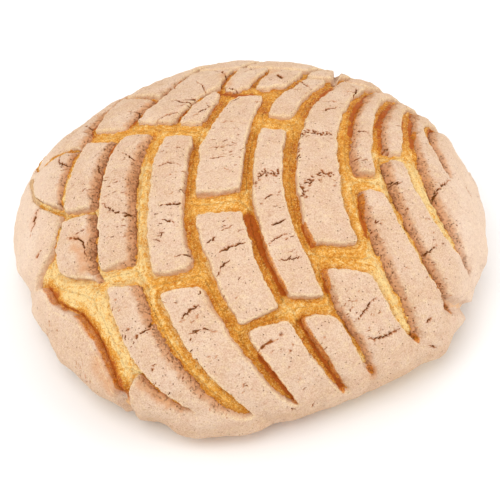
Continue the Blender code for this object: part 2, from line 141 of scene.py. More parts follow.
# Places where the paste is crumbly: middle, half width, half height, how many small cracks.
CRUMBLY = (
    (3, -10, 4.5, 2.5, 7), (17, 6.5, 4, 2.5, 6), (18.8, -9, 3, 2.4, 6), (-60.5, -3.5, 3.5, 3.5, 7),
    (-49, 9.5, 3, 4.5, 4), (6.5, 35, 1.8, 2.4, 4), (30, -1, 1.6, 1.6, 4),
    (46.6, -2.2, 3.4, 2.5, 6), (-20.5, 2, 3, 3, 7), (-21, -10, 3.5, 5, 7), (-21, -24, 3.5, 5, 6),
    (-7, 8, 4, 5, 10), (-6, -3, 4, 5, 10), (-4.5, -26, 4, 4, 7), (-4.5, -44, 4.5, 4, 6),
    (9, -32, 3.5, 4.5, 7), (5, -18, 3.5, 4.5, 7), (20, -58, 4, 4, 8), (26, -46, 4, 5, 10),
    (33, -49, 4, 4.5, 11), (31.5, 6.8, 1.5, 2, 3), (42, -36, 3.5, 6, 7), (35, -20, 2.5, 5, 4),
    (48, -18, 4, 5, 10), (52, -30, 3.5, 4, 6), (-62, -44, 6, 4, 10), (-36, -4, 3, 8, 13),
    (-36, -22, 3.5, 6, 11), (-33, -46, 3, 6, 11), (-24, -62, 3.5, 4, 7),
    (-49.5, -57.5, 5, 3.5, 17), (-12, -56, 4, 7, 11), (-2, -66, 4, 4, 7), (8, -60, 4, 5, 11),
    (12, -68, 4, 3, 6), (-44.5, 0, 3, 7, 7), (-15, -46, 3.5, 4, 6),
)
# Lines along which the paste has crumbled: width, then points.
CRUMBLES = (
    (1.3, (1.1, -11.6), (2.2, -10.4), (3.3, -8.8), (4.9, -8.4), (6, -9.1), (7.7, -7.7)),
    (1.9, (14, -11.4), (15.5, -10.4), (17.2, -9.4)), (1.2, (17.5, -7.6), (19.3, -8.1), (21, -7.5)),
    (0.8, (11.7, 4.4), (12.4, 6.6), (14, 7.6), (15.8, 8.3), (17.8, 7.2), (20.5, 8.3)),
    (0.9, (14.2, -12.5), (14.4, -15), (14.5, -16.5)), (0.6, (12.9, 15.5), (13.8, 10.7)),
    (0.6, (12.4, 3.4), (12.6, -1.6)), (1.1, (33.4, 7.4), (34.6, 6.4), (36.2, 6.2)),
    (1, (43.2, 10.6), (44.4, 5.6), (45.4, 0.6)),
)
# Where the bread has baked dark beside the paste, together with painted shade in the crevices and
# grooves beside the walls: half width, then points.
TOASTED_AND_SHADED = (
    (2.5, (-59, -31), (-56.2, -34.4)), (1.2, (-55.4, -35.6), (-52.6, -38.4)),
    (0.5, (-52.2, -38.8), (-47.4, -41.4)), (2.5, (-46.2, -43), (-44.2, -46), (-42.4, -48)),
    (0.8, (-41.8, -48.6), (-40.6, -50.4)),
    (2.6, (-39.6, -51.6), (-38, -55), (-36.8, -59), (-35.6, -63.5), (-35.4, -67)),
    (0.9, (22.4, 33), (19.6, 27.6)), (0.7, (30.2, 28), (27, 18.4), (26, 11.5)),
    (0.7, (36.6, 26.6), (33.8, 17.5)), (0.6, (41.2, 24), (40.2, 16.5)),
    (1, (-8.6, 28.6), (-2.6, 25.4), (0.4, 25.6)), (0.6, (44.8, 20), (43.4, 12.5)),
    (1.3, (0, -21.5), (1.3, -26), (4.2, -33), (7.3, -39.5), (9.3, -44)),
    (0.9, (20.8, -38), (21.6, -43)), (1.1, (14.6, -52), (18.5, -57.5), (24, -63.5), (29.5, -69)),
    (1, (3, -60.5), (8, -66.5), (14.5, -74)), (0.8, (14.8, -25), (17.2, -30.5)),
    (0.8, (29, -12.5), (29.4, -18), (31, -25)), (1.2, (1.8, -76), (3.2, -77.5)),
    (1.3, (15.5, -74.5), (17, -76)), (1.2, (38.6, -62.6), (40.6, -64.2)),
    (1.2, (50.8, -49.4), (52.8, -50)), (1.2, (30, -69.6), (31.2, -71)),
    (1.3, (60.5, -36.2), (63, -36)), (0.7, (2.6, -59.4), (5.5, -57.6)),
)
# Where crumbs of paste have closed a groove: half width, then points.
CLOSED = (
    (1.5, (-60, -1), (-61.5, 2.5), (-62.8, 7.5), (-63.5, 12)),
)
# Patches where the paste is painted browner: half width, then points.
BROWN_PATCHES = (
    (2.6, (-41, -55.5), (-39, -62.5)), (1.9, (-45, -22.5), (-44.2, -31)),
    (1.6, (-7, 38), (-6, 31)), (1.4, (1.5, 32.5), (7, 41)), (1.2, (-48, -20.6), (-46.5, -21.2)),
    (1.5, (27, -51.5), (34.5, -58.5)), (1.6, (-29, -62), (-22.5, -68.5)),
    (1.2, (39, -62), (41, -65)), (1.6, (-59.2, -5.5), (-61, -9)), (1.4, (-47.4, -24), (-46, -25)),
)
# Soft dents in the skirt: width, depth, then points.
CREASES = (
    (2.6, 0.7, (-17.5, -73), (-18.5, -80)), (2.4, 0.6, (3, -74), (4.5, -81)),
    (2.4, 0.7, (20, -70), (24, -77)), (2.4, 0.8, (37, -62.5), (43, -69.5)),
    (2.4, 0.8, (50, -49), (57, -56)), (2.6, 0.7, (56.5, -36), (65, -41)),
    (3, 0.8, (63, -22), (73, -25)), (2.2, 1.8, (-37, -66), (-41, -76)),
    (2.2, 3.2, (58.8, -35.7), (65.2, -33.6), (70.9, -30.7), (77, -27.5), (84, -23)),
    (4.5, 1.6, (-69.5, -26), (-78, -20), (-84, -15)), (6, 1, (64, -29), (72, -24.5), (80, -18)),
    (0.8, 2.4, (25.4, 52), (24.2, 43.5), (23.4, 37)),
)
# Lobes of the skirt, and hollows between them: radius, height, middle.
LOBES = (
    (9, 0.9, (-62, -51)), (6, -1.2, (-37.5, -70)), (12, 1.6, (-18, -83)), (12, 1.2, (-3, -86)),
    (9, -1.6, (-31, -78)), (10, 2.2, (68, -48)), (7, -1, (9, -82)), (9, 0.8, (72, -8)),
    (9, -1.2, (-46, -71)), (7, -1.2, (-72, 19)),
)


# ---- the dome and its map

def dome_table():
    """Arc length, bread point and the step from it to the outer face, down the profile."""
    t = np.linspace(0.0, 0.5 * math.pi, 241)
    r = RADIUS * np.sin(t) ** (2 / SIDE_POWER)
    z = WIDEST + (HEIGHT - WIDEST) * np.cos(t) ** (2 / TOP_POWER)
    dr, dz = np.gradient(r), np.gradient(z)
    dr[0], dz[0], dr[-1], dz[-1] = 1.0, 0.0, 0.0, -1.0
    size = np.hypot(dr, dz)
    out_r, out_z = -dz / size * SKIN, dr / size * SKIN
    u = np.arange(1, 81) / 80
    low_r = FOOT_RADIUS + (RADIUS - FOOT_RADIUS) * np.sqrt(1 - u * u)
    side = RADIUS - SKIN - BREAD_FOOT
    low_in = BREAD_FOOT + side * (low_r - FOOT_RADIUS) / (RADIUS - FOOT_RADIUS)
    outer = np.concatenate([r, low_r]), np.concatenate([z, WIDEST * (1 - u)])
    length = np.concatenate([[0.0], np.cumsum(np.hypot(np.diff(outer[0]), np.diff(outer[1])))])
    step_r = np.concatenate([out_r, low_r - low_in])
    step_z = np.concatenate([out_z, 0 * u])
    return length, outer[0] - step_r, outer[1] - step_z, step_r / SKIN, step_z / SKIN


TABLE = dome_table()
FLOOR_S = float(TABLE[0][-1])


def plan(angle):
    """Radius factor of the plan at each angle."""
    k = np.ones_like(angle)
    for n, (a, b) in enumerate(zip(PLAN_COS, PLAN_SIN)):
        k = k + a * np.cos((n + 1) * angle) + b * np.sin((n + 1) * angle)
    return k


def dome_at(s):
    """Bread point and outward step per mm of height, at each arc length."""
    return [np.interp(s, TABLE[0], column) for column in TABLE[1:]]


def lift(place):
    """Map places (x, y, height above the bread) in mm to points in metres."""
    s = np.hypot(place[:, 0], place[:, 1])
    angle = np.arctan2(place[:, 1], place[:, 0])
    r, z, step_r, step_z = dome_at(s)
    r = (r + step_r * place[:, 2]) * plan(angle)
    z = z + step_z * place[:, 2]
    return np.stack([r * np.cos(angle), r * np.sin(angle) + CENTRE_Y, z], 1) * MM


def flatten(points):
    """Points in metres to map places (x, y, height above the bread) in mm."""
    p = points / MM
    x, y = p[:, 0], p[:, 1] - CENTRE_Y
    angle = np.arctan2(y, x)
    r, z = np.hypot(x, y) / plan(angle), p[:, 2]
    turn = np.arctan2(TABLE[2], TABLE[1])
    s = np.interp(-np.arctan2(z, r), -turn, TABLE[0])
    for _ in range(8):
        br, bz, nr, nz = dome_at(s)
        er, ez = r - br, z - bz
        height = er * nr + ez * nz
        height = height / (nr * nr + nz * nz)
        tr, tz = nz, -nr
        s = np.clip(s + 0.9 * ((er - height * nr) * tr + (ez - height * nz) * tz), 0.0, FLOOR_S)
    return np.stack([s * np.cos(angle), s * np.sin(angle), height], 1)


# ---- small helpers

def ramp(value, low, high):
    """0 at low, 1 at high, smooth between."""
    t = np.clip((value - low) / (high - low), 0.0, 1.0)
    return t * t * (3 - 2 * t)


def lumps(points, size, seed=0.0):
    """Smooth noise from -1 to 1 at each point, its bumps about as large as size."""
    p = points / size + 31.7 * seed
    cell = np.floor(p).astype(np.int64)
    f = p - cell
    f = f * f * (3 - 2 * f)
    total = np.zeros(len(p))
    for corner in itertools.product((0, 1), repeat=3):
        n = (cell + corner) @ np.array((73856093, 19349663, 83492791))
        n = ((n ^ (n >> 13)) * 1274126177) & 0x7FFFFFFF
        n = ((n ^ (n >> 15)) * 461845907) & 0x7FFFFFFF
        weight = np.where(corner, f, 1 - f).prod(axis=1)
        total += weight * ((n >> 8) % 2048 / 1023.5 - 1)
    return 1.4 * total


def vertices(piece, what="co"):
    """Where the piece's vertices are, in metres, or with "normal" which way they face."""
    values = np.empty(len(piece.data.vertices) * 3, np.float32)
    piece.data.vertices.foreach_get(what, values)
    return values.reshape(-1, 3).astype(float)


def put_vertices(piece, points):
    piece.data.vertices.foreach_set("co", points.astype(np.float32).ravel())
    piece.data.update()


def note(piece, name, values):
    """Keep a number, or a vector, for each vertex, for the material to read."""
    kind = "FLOAT" if values.ndim == 1 else "FLOAT_VECTOR"
    layer = piece.data.attributes.new(name, kind, "POINT")
    layer.data.foreach_set("value" if kind == "FLOAT" else "vector",
                           values.astype(np.float32).ravel())


def kept(piece, name):
    """The numbers that note() put on a piece."""
    values = np.empty(len(piece.data.vertices), np.float32)
    piece.data.attributes[name].data.foreach_get("value", values)
    return values.astype(float)


def alone(thing):
    """Make this the only selected object, and the active one."""
    bpy.ops.object.select_all(action="DESELECT")
    thing.select_set(True)
    bpy.context.view_layer.objects.active = thing


def applied(piece, kind, **settings):
    """Add a modifier, set it and apply it."""
    alone(piece)
    modifier = piece.modifiers.new(kind.title(), kind)
    for key, value in settings.items():
        setattr(modifier, key, value)
    bpy.ops.object.modifier_apply(modifier=modifier.name)


def remeshed_copy(node, grain):
    """A solid's mesh as a piece of its own, in even faces of about this size."""
    piece = bpy.data.objects.new("dressed_" + node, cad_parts[node].data.copy())
    bpy.context.scene.collection.objects.link(piece)
    piece.data.materials.clear()
    alone(piece)
    bpy.ops.object.mode_set(mode="EDIT")
    bpy.ops.mesh.select_all(action="SELECT")
    bpy.ops.mesh.remove_doubles(threshold=1e-6)
    bpy.ops.mesh.normals_make_consistent(inside=False)
    bpy.ops.object.mode_set(mode="OBJECT")
    applied(piece, "REMESH", mode="VOXEL", voxel_size=grain, use_smooth_shade=True)
    applied(piece, "SMOOTH", factor=0.5, iterations=3)
    return piece


def thin_out(piece, hidden):
    """Few faces where the vertices are hidden."""
    group = piece.vertex_groups.new(name="hidden")
    group.add(np.flatnonzero(hidden).tolist(), 1.0, "REPLACE")
    applied(piece, "DECIMATE", ratio=1 - 0.93 * float(hidden.mean()), vertex_group="hidden",
            vertex_group_factor=1.0)
    piece.vertex_groups.clear()


def finer(piece, chosen):
    """Subdivide the faces all of whose vertices are chosen."""
    mesh = piece.data
    loops = np.empty(len(mesh.loops), np.int32)
    mesh.loops.foreach_get("vertex_index", loops)
    starts = np.empty(len(mesh.polygons), np.int32)
    mesh.polygons.foreach_get("loop_start", starts)
    picked = np.logical_and.reduceat(chosen[loops], starts)
    if not picked.any():
        return
    alone(piece)
    bpy.context.tool_settings.mesh_select_mode = (False, False, True)
    bpy.ops.object.mode_set(mode="EDIT")
    bpy.ops.mesh.select_all(action="DESELECT")
    bpy.ops.object.mode_set(mode="OBJECT")
    mesh.polygons.foreach_set("select", picked)
    bpy.ops.object.mode_set(mode="EDIT")
    bpy.ops.mesh.subdivide(number_cuts=1)
    bpy.ops.mesh.select_all(action="DESELECT")
    bpy.ops.object.mode_set(mode="OBJECT")


# ---- the edges of the tiles

def edge_samples(node):
    """Along the top of a node's walls: x, y, the way out (x, y), and how far along."""
    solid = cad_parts[node]
    corners = np.array([tuple(p.vertices) for p in solid.data.polygons])
    place = flatten(vertices(solid))[corners]
    on = np.abs(place[:, :, 2] - WALL_TOP) < 0.1
    bevel = (on.sum(axis=1) == 2) & (place[:, :, 2].max(axis=1) > WALL_TOP + 0.5)
    follow = {}
    for triangle, low in zip(place[bevel], on[bevel]):
        k = int(np.argmin(low))
        a, b = triangle[(k + 1) % 3, :2], triangle[(k + 2) % 3, :2]
        follow[tuple(np.round(a, 1))] = (a, tuple(np.round(b, 1)))
    rows, along = [], 0.0
    while follow:
        key = next(iter(follow))
        loop = []
        while key in follow:
            point, key = follow.pop(key)
            loop.append(point)
        loop = np.array(loop)
        step = np.roll(loop, -1, axis=0) - loop
        length = np.hypot(step[:, 0], step[:, 1])
        way = np.stack([step[:, 1], -step[:, 0]], 1) / length[:, None]
        corner = way + np.roll(way, 1, axis=0)
        for i, point in enumerate(loop):
            n = max(1, round(length[i] / EDGE_STEP))
            for k in range(n):
                out = corner[i] + (corner[(i + 1) % len(loop)] - corner[i]) * k / n
                out = out / max(np.hypot(*out), 1e-6)
                rows.append((*(point + step[i] * k / n), *out, along + length[i] * k / n))
            along += length[i]
        along += 50.0
    return np.array(rows)


class Edges:
    """Samples along the edges of some pieces of paste, and the nearest of them to any place."""

    def __init__(self, rows):
        self.rows = rows
        self.tree = KDTree(len(rows))
        for i, row in enumerate(rows):
            self.tree.insert((row[0], row[1], 0.0), i)
        self.tree.balance()

    def look(self, xy):
        """For each place: mm inside the edge, and the nearest sample."""
        near = np.array([self.tree.find((x, y, 0.0))[1] for x, y in xy.tolist()])
        row = self.rows[near]
        away = row[:, :2] - xy
        inside = np.hypot(away[:, 0], away[:, 1]) * np.sign((away * row[:, 2:4]).sum(axis=1))
        return inside, near


def by_bare_bread(rows):
    """1 along the skirt where it borders the bare bread in front on the left."""
    x, y = rows[:, 0], rows[:, 1]
    return ramp(-x, 30.0, 33.0) * ramp(-x - y, 82.0, 86.0) * ramp(x, -60.0, -55.0)


def inwardness(rows):
    """1 where an edge out on a flank faces the middle of the loaf, 0 where it faces away."""
    left = ramp(0.4 * np.maximum(-rows[:, 1] - 20.0, 0.0) - rows[:, 0], 12.0, 32.0)
    right = ramp(rows[:, 0], 12.0, 32.0)
    centre = np.where(rows[:, 0] < 8.0, -left, right)
    far = ramp(np.hypot(rows[:, 0], rows[:, 1]), SKIRT - 8.0, SKIRT)
    skirt = np.maximum(ramp(-rows[:, 0], 50.0, 54.0), by_bare_bread(rows))
    return np.clip(-rows[:, 2] * centre, 0.0, 1.0) * (1 - far) * (1 - 0.85 * skirt)


def opening(edges, rows):
    """How wide the opening in front of each edge sample is, in mm."""
    width = np.full(len(rows), 1.0)
    free = np.ones(len(rows), bool)
    for reach in (1.5, 2.0, 2.5, 3.0, 3.5, 4.0, 4.5, 5.0, 5.5, 6.0, 7.0, 8.0):
        inside, _ = edges.look(rows[:, :2] + rows[:, 2:4] * reach)
        free &= inside < 0
        width[free] = reach
    return width


def slope_lengths(rows, inward, room):
    """How far the slope before each edge sample runs out; it leaves some of the groove open."""
    longest = SLOPE_BACK + (SLOPE_FRONT - SLOPE_BACK) * ramp(-rows[:, 1], 0.0, 30.0)
    return np.clip(np.minimum(room - SLOPE_CLEAR, longest * inward), 0.0, None)


# ---- cracks and dents

def ragged(points, rng, step=0.45, stray=0.28):
    """A broken line through the points, straying to both sides."""
    line = [points[0]]
    for a, b in zip(points, points[1:]):
        n = max(1, round(math.dist(a, b) / step))
        for i in range(1, n + 1):
            loose = stray if i < n else 0.4 * stray
            line.append((a[0] + (b[0] - a[0]) * i / n + rng.uniform(-loose, loose),
                         a[1] + (b[1] - a[1]) * i / n + rng.uniform(-loose, loose)))
    return line


def strokes_of(width, depth, points, rng, broken=0.4):
    """Short strokes (a, b, width, depth) along a ragged line, thin at both ends, some much
    fainter.
    """
    line = ragged(points, rng)
    made = []
    for i, (a, b) in enumerate(zip(line, line[1:])):
        middle = (i + 0.5) / (len(line) - 1)
        fade = min(1.0, 0.35 + 2.2 * min(middle, 1 - middle))
        if rng.random() < broken:
            fade *= 0.3
        wide = 0.14 + 0.52 * width * fade * rng.uniform(0.5, 1.3)
        made.append((a, b, wide, 0.65 * depth * fade))
    return made


def beyond(point, far, turn):
    """The place this far from a point, in this direction."""
    return (point[0] + far * math.cos(turn), point[1] + far * math.sin(turn))


def crumbs_of(width, points, rng):
    """Short pits at every angle along a line, as where the paste has crumbled."""
    made = []
    for x, y in ragged(points, rng, 0.6, 0.3):
        for _ in range(3 if width > 1.0 else 2):
            a = (x + rng.gauss(0, 0.4) * width, y + rng.gauss(0, 0.4) * width)
            b = beyond(a, rng.uniform(0.05, 0.3), rng.uniform(0, math.pi))
            made.append((a, b, rng.uniform(0.3, 0.62), rng.uniform(0.2, 0.6)))
    return made


def slash_strokes(rows, slope, rng):
    """Short torn strokes down the long slopes."""
    made = []
    for row, reach in zip(rows, slope):
        if reach < 0.9 or rng.random() > TORN:
            continue
        start = rng.uniform(-0.6 * reach, 0.9)
        a = (row[0] - row[2] * start, row[1] - row[3] * start)
        long = rng.uniform(0.15, 0.25 * reach)
        b = beyond(a, long, math.atan2(row[3], row[2]) + rng.gauss(0.25, 0.6))
        made.append((a, b, rng.uniform(0.2, 0.34), rng.uniform(0.15, 0.35)))
    return made


def crack_strokes():
    """All the cracks: those named above, the crumbly places, and more of the kind at the back."""
    rng = random.Random(11)
    made = []
    for width, depth, *points in CRACKS:
        made += strokes_of(width, depth, points, rng, 0.22)
    for x, y, wide, high, count in CRUMBLY:
        for _ in range(count):
            a = (x + rng.uniform(-wide, wide), y + rng.uniform(-high, high))
            long = rng.uniform(0.25, 1.5)
            turn = rng.gauss(0.25 + 0.7 * min(max((-a[1] - 12) / 35, 0.0), 1.0), 0.3)
            b = beyond(a, long, turn)
            made += strokes_of(rng.uniform(0.1, 0.32), rng.uniform(0.3, 0.8), (a, b), rng, 0.3)
    for width, *points in CRUMBLES:
        made += crumbs_of(width, points, rng)
    for _ in range(MORE_CRACKS):
        far = rng.uniform(18.0, 84.0)
        way = rng.uniform(15, 165) if rng.random() < 0.8 else rng.uniform(165, 375)
        a = beyond((0.0, 0.0), far, math.radians(way))
        b = beyond(a, rng.uniform(2.5, 7.0), rng.gauss(0.2, 0.5))
        made += strokes_of(rng.uniform(0.35, 0.55), rng.uniform(0.5, 0.9), (a, b), rng, 0.3)
    return made


def carved(xy, strokes, soft=False):
    """How deep the strokes cut at each map point, and how dark they are there, 0 to 1."""
    depth, dark = np.zeros(len(xy)), np.zeros(len(xy))
    nearest, furthest = xy.min(axis=0), xy.max(axis=0)
    for a, b, width, deep in strokes:
        reach = 1.6 * width if soft else width
        low = np.minimum(a, b) - reach
        high = np.maximum(a, b) + reach
        if (low > furthest).any() or (high < nearest).any():
            continue
        near = np.flatnonzero(((xy > low) & (xy < high)).all(1))
        if not len(near):
            continue
        p, a, d = xy[near], np.array(a), np.subtract(b, a)
        t = np.clip(((p - a) @ d) / max(d @ d, 1e-9), 0.0, 1.0)
        away = np.linalg.norm(p - a - t[:, None] * d, axis=1) / reach
        cut = np.clip(1 - away, 0.0, 1.0)
        cut = cut * cut * (3 - 2 * cut)
        depth[near] = np.maximum(depth[near], deep * cut)
        dark[near] = np.maximum(dark[near], ramp(cut, 0.25, 0.85) * min(1.0, 0.12 + 1.5 * deep))
    return depth, dark


def along_lines(xy, table):
    """1 on the lines of a table of half widths and points, fading to 0 beside them."""
    lines = [(a, b, half, 1.0) for half, *line in table for a, b in zip(line, line[1:])]
    return carved(xy, lines, soft=True)[0]


def skirt_relief(xy):
    """How far the skirt stands out at each map point: its lobes, less its soft dents."""
    total = np.zeros(len(xy))
    for radius, height, middle in LOBES:
        away = np.hypot(xy[:, 0] - middle[0], xy[:, 1] - middle[1])
        total += height * (1 - ramp(away, 0.0, radius))
    dents = [(a, b, width, depth)
             for width, depth, *line in CREASES for a, b in zip(line, line[1:])]
    return total - carved(xy, dents, soft=True)[0]


# ---- shader maths

class Value:
    """A socket in shader maths: + - * on it add Math nodes."""

    def __init__(self, tree, socket=None):
        self.tree = tree
        self.socket = socket

    def node(self, kind, settings=None, inputs=None, output=0):
        """Add a node: its settings first, then the values or links of its sockets."""
        made = self.tree.nodes.new(kind)
        for key, value in (settings or {}).items():
            if key == "stops":
                stops = made.color_ramp.elements
                while len(stops) < len(value):
                    stops.new(0.5)
                for stop, (place, color) in zip(stops, value):
                    stop.position = place
                    stop.color = color
            else:
                setattr(made, key, value)
        for key, value in (inputs or {}).items():
            if isinstance(value, Value):
                self.tree.links.new(value.socket, made.inputs[key])
            else:
                made.inputs[key].default_value = value
        return Value(self.tree, made.outputs[output])

    def math(self, operation, *values):
        return self.node("ShaderNodeMath", {"operation": operation}, dict(enumerate(values)))

    def __add__(self, other):
        return self.math("ADD", self, other)

    def __radd__(self, other):
        return self.math("ADD", other, self)

    def __sub__(self, other):
        return self.math("SUBTRACT", self, other)

    def __rsub__(self, other):
        return self.math("SUBTRACT", other, self)

    def __mul__(self, other):
        return self.math("MULTIPLY", self, other)

    def __rmul__(self, other):
        return self.math("MULTIPLY", other, self)

    def between(self, low, high):
        """0 at low, 1 at high, smooth between, and held beyond."""
        return self.node("ShaderNodeMapRange", {"interpolation_type": "SMOOTHSTEP"},
                         {"Value": self, "From Min": low, "From Max": high})

    def blend(self, factor, a, b, how="MIX"):
        """One colour over another."""
        return self.node("ShaderNodeMix", {"data_type": "RGBA", "blend_type": how},
                         {0: factor, 6: a, 7: b}, 2)

    def noise(self, where, size, detail=3.0, rough=0.55, twist=0.0):
        """Noise from 0 to 1 with bumps of about this size in mm."""
        return self.node("ShaderNodeTexNoise", None,
                         {"Vector": where, "Scale": 1 / (size * MM), "Detail": detail,
                          "Roughness": rough, "Distortion": twist})

    def attribute(self, name, output="Fac"):
        return self.node("ShaderNodeAttribute", {"attribute_name": name}, None, output)


def rgb(red, green, blue):
    """An sRGB colour, 0 to 255, as the linear colour that a shader takes."""
    def linear(c):
        c = c / 255
        return c / 12.92 if c <= 0.04045 else ((c + 0.055) / 1.055) ** 2.4
    return (linear(red), linear(green), linear(blue), 1.0)


def new_material(name):
    """A new material, its shader and its maths."""
    material = bpy.data.materials.new(name)
    material.use_nodes = True
    shader = material.node_tree.nodes["Principled BSDF"]
    return material, shader, Value(material.node_tree)


def coat(shader, color, relief, depth, strength, plain):
    """Give the shader its colour, its fine relief, of this depth in mm, and its plain values."""
    bump = color.node("ShaderNodeBump", None, {"Height": relief, "Distance": depth * MM,
                                               "Strength": strength}, "Normal")
    color.tree.links.new(color.socket, shader.inputs["Base Color"])
    color.tree.links.new(bump.socket, shader.inputs["Normal"])
    for name, value in plain.items():
        shader.inputs[name].default_value = value


def paste_material(look):
    """Matt baked sugar paste: pale and grainy; browner with painted shade where it slopes down,
    brown in its cracks, with a painted highlight on its outer edges and painted light at its
    sides.
    """
    material, shader, net = new_material("sugar_paste")
    here = net.node("ShaderNodeTexCoord", None, None, "Object")
    height = net.attribute("height")
    crack = net.attribute("crack")
    inward = net.attribute("inward")
    lip = net.attribute("lip")

    cloud = net.noise(here, 8.0, 4.0)
    patch = net.noise(here, 2.0, 3.0, 0.6)
    speck = net.noise(here, 0.34, 1.0, 0.5)
    hue = net.noise(here, 1.3, 3.0, 0.7)
    color = net.blend(cloud.between(0.32, 0.68), look.paste_warm, look.paste_pale)
    color = net.blend(hue.between(0.50, 0.68) * 0.32, color, look.paste_cream)
    color = net.blend(patch.between(0.42, 0.72) * 0.5, color, look.paste_pink)
    mottle = net.noise(here, 1.1, 2.0, 0.6)
    color = net.blend(mottle.between(0.52, 0.75) * 0.35, color, look.paste_dark)
    color = net.blend(speck.between(0.52, 0.70) * 0.36, color, look.paste_light)
    color = net.blend((1.0 - speck.between(0.32, 0.48)) * 0.38, color, look.paste_dark)

    # Slopes towards the middle: the paste is painted browner there, together with painted shade
    # that deepens down the slope.
    slope = net.attribute("slope")
    slope_brown_and_shade = (slope + (patch - 0.5) * 0.6).between(0.08, 0.5)
    spots = {"Vector": here, "Scale": 1 / (0.85 * MM)}
    far = net.node("ShaderNodeTexVoronoi", None, spots)
    draw = net.node("ShaderNodeSeparateColor", None,
                    {"Color": net.node("ShaderNodeTexVoronoi", None, spots, "Color")})
    often = draw + (patch - 0.5) * 1.8 + slope_brown_and_shade * 0.55
    pore = (1.0 - (far - slope_brown_and_shade * 0.04).between(0.10, 0.24)) * often.between(0.74, 0.81)

    low = 1.0 - (height + (patch - 0.5) * 0.16).between(0.45, 0.97)
    outer = net.blend(height.between(0.15, 0.7), look.crust_gold, look.wall_pale)
    grained = (1.0 - inward) * 0.55 * (0.85 + (speck - 0.5) * 0.8)
    color = net.blend(low * grained, color, outer)
    torn = net.noise(here, 0.6, 3.0, 0.75, 0.5)
    color = net.blend(slope_brown_and_shade * (0.78 + (speck - 0.5) * 0.9), color, look.wall_high)
    color = net.blend((slope + (hue - 0.5) * 0.8).between(0.4, 0.9) * 0.45, color, look.wall_mid)
    gash = (torn + slope * 0.12 + (patch - 0.5) * 0.3).between(0.60, 0.70) * slope_brown_and_shade
    color = net.blend(gash * 0.4, color, look.wall_low)
    # Painted shade, with some browning, at the foot of a slope.
    color = net.blend((slope + (torn - 0.5) * 0.3).between(0.80, 0.98) * 0.75, color,
                      look.wall_low)
    color = net.blend(pore * 0.82, color, look.pore)
    # Patches where the paste is painted browner.
    color = net.blend(net.attribute("stain") * (patch.between(0.3, 0.6) * 0.4 + 0.3), color,
                      look.wall_high)
    # Painted highlight along the outer edges of the tops.
    color = net.blend(lip * (0.15 + speck.between(0.4, 0.6) * 0.35), color, look.paste_cream)
    # Toasted colour together with painted shade on the low walls beside the bare bread and in the
    # crevices.
    burnt_and_shaded = net.attribute("toast") * 1.7 - (height + (patch - 0.5) * 0.3).between(0.75, 1.0)
    color = net.blend(burnt_and_shaded.between(0.1, 1.0) * (0.8 + (hue - 0.5) * 0.9), color,
                      net.blend(speck.between(0.35, 0.65), look.crust_dark, look.crust_amber))
    # Painted side light: the paste is paler towards both sides of the loaf.
    across = net.node("ShaderNodeSeparateXYZ", None, {"Vector": here})
    color = net.blend(across.math("ABSOLUTE", across).between(0.046, 0.063) * 0.4, color,
                      look.paste_side_light)
    color = net.blend((crack + (patch - 0.5) * 0.2).between(0.02, 0.35) * 0.6, color,
                      look.wall_mid)
    broken = (crack + (speck - 0.5) * 0.7).between(0.3, 0.75)
    color = net.blend(broken * 0.92, color, net.blend((crack + (patch - 0.5)).between(0.55, 1.0),
                                                      look.crack_red, look.crack))

    relief = speck * 0.55 + net.noise(here, 0.8, 3.0, 0.6) - pore * 0.9 - broken * 0.6
    coat(shader, color, relief - gash * 0.8, 0.3, 0.9,
         {"Sheen Weight": 0.2, "Sheen Roughness": 0.3, "Sheen Tint": look.paste_cream,
          "Roughness": 0.9, "Specular IOR Level": 0.05})
    return material


def bread_material(look):
    """Golden crust, fibrous and flecked, toasted beside the paste with painted shade and painted
    light in the grooves, and brown underneath.
    """
    material, shader, net = new_material("baked_bread")
    here = net.node("ShaderNodeTexCoord", None, None, "Object")
    tone = net.attribute("tone")
    base = net.attribute("base")

    cloud = net.noise(here, 6.0, 3.0)
    fibre = net.noise(here, 1.0, 4.0, 0.7, 1.2)
    streak = net.noise(net.attribute("flow", "Vector"), 0.7, 3.0, 0.65)
    speck = net.noise(here, 0.36, 1.0, 0.5)
    crumb = net.noise(here, 2.2, 3.0, 0.65, 0.6)
    shade = tone + (fibre - 0.5) * 1.5 + (streak - 0.5) * 1.0 + (cloud - 0.5) * 0.4
    shade = shade + (crumb - 0.5) * 0.8
    color = net.node("ShaderNodeValToRGB",
                     {"stops": ((0.02, look.crust_pale), (0.33, look.crust_gold),
                                (0.64, look.crust_amber), (0.98, look.crust_dark))},
                     {"Fac": shade})
    clean = 1.0 - (tone - 0.75).between(0.0, 0.2)
    color = net.blend(speck.between(0.55, 0.68) * 0.6 * clean, color, look.crust_fleck)
    color = net.blend((1.0 - speck.between(0.32, 0.45)) * 0.4, color, look.crust_speck)
    dusty = (net.attribute("dust") + (fibre - 0.5) * 0.8).between(0.3, 0.6)
    color = net.blend(dusty * 0.85, color, look.wall_pale)
    color = net.blend(base, color, net.blend(cloud.between(0.3, 0.7), look.base_dark,
                                             look.base_brown))
    coat(shader, color, fibre + streak * 0.6 + speck * 0.6, 0.45, 1.0,
         {"Roughness": 0.6, "Specular IOR Level": 0.3})
    return material


def floor_material(look):
    """A plain pale floor."""
    material, shader, _ = new_material("studio_floor")
    shader.inputs["Base Color"].default_value = look.floor
    shader.inputs["Roughness"].default_value = 0.9
    return material


# ---- settings

def color_setting(name, description, *srgb):
    return bpy.props.FloatVectorProperty(name=name, description=description, subtype="COLOR",
                                         size=4, min=0.0, max=1.0, default=rgb(*srgb))


def size_setting(name, description, mm):
    return bpy.props.FloatProperty(name=name, description=description, unit="LENGTH",
                                   default=mm * MM, precision=5)


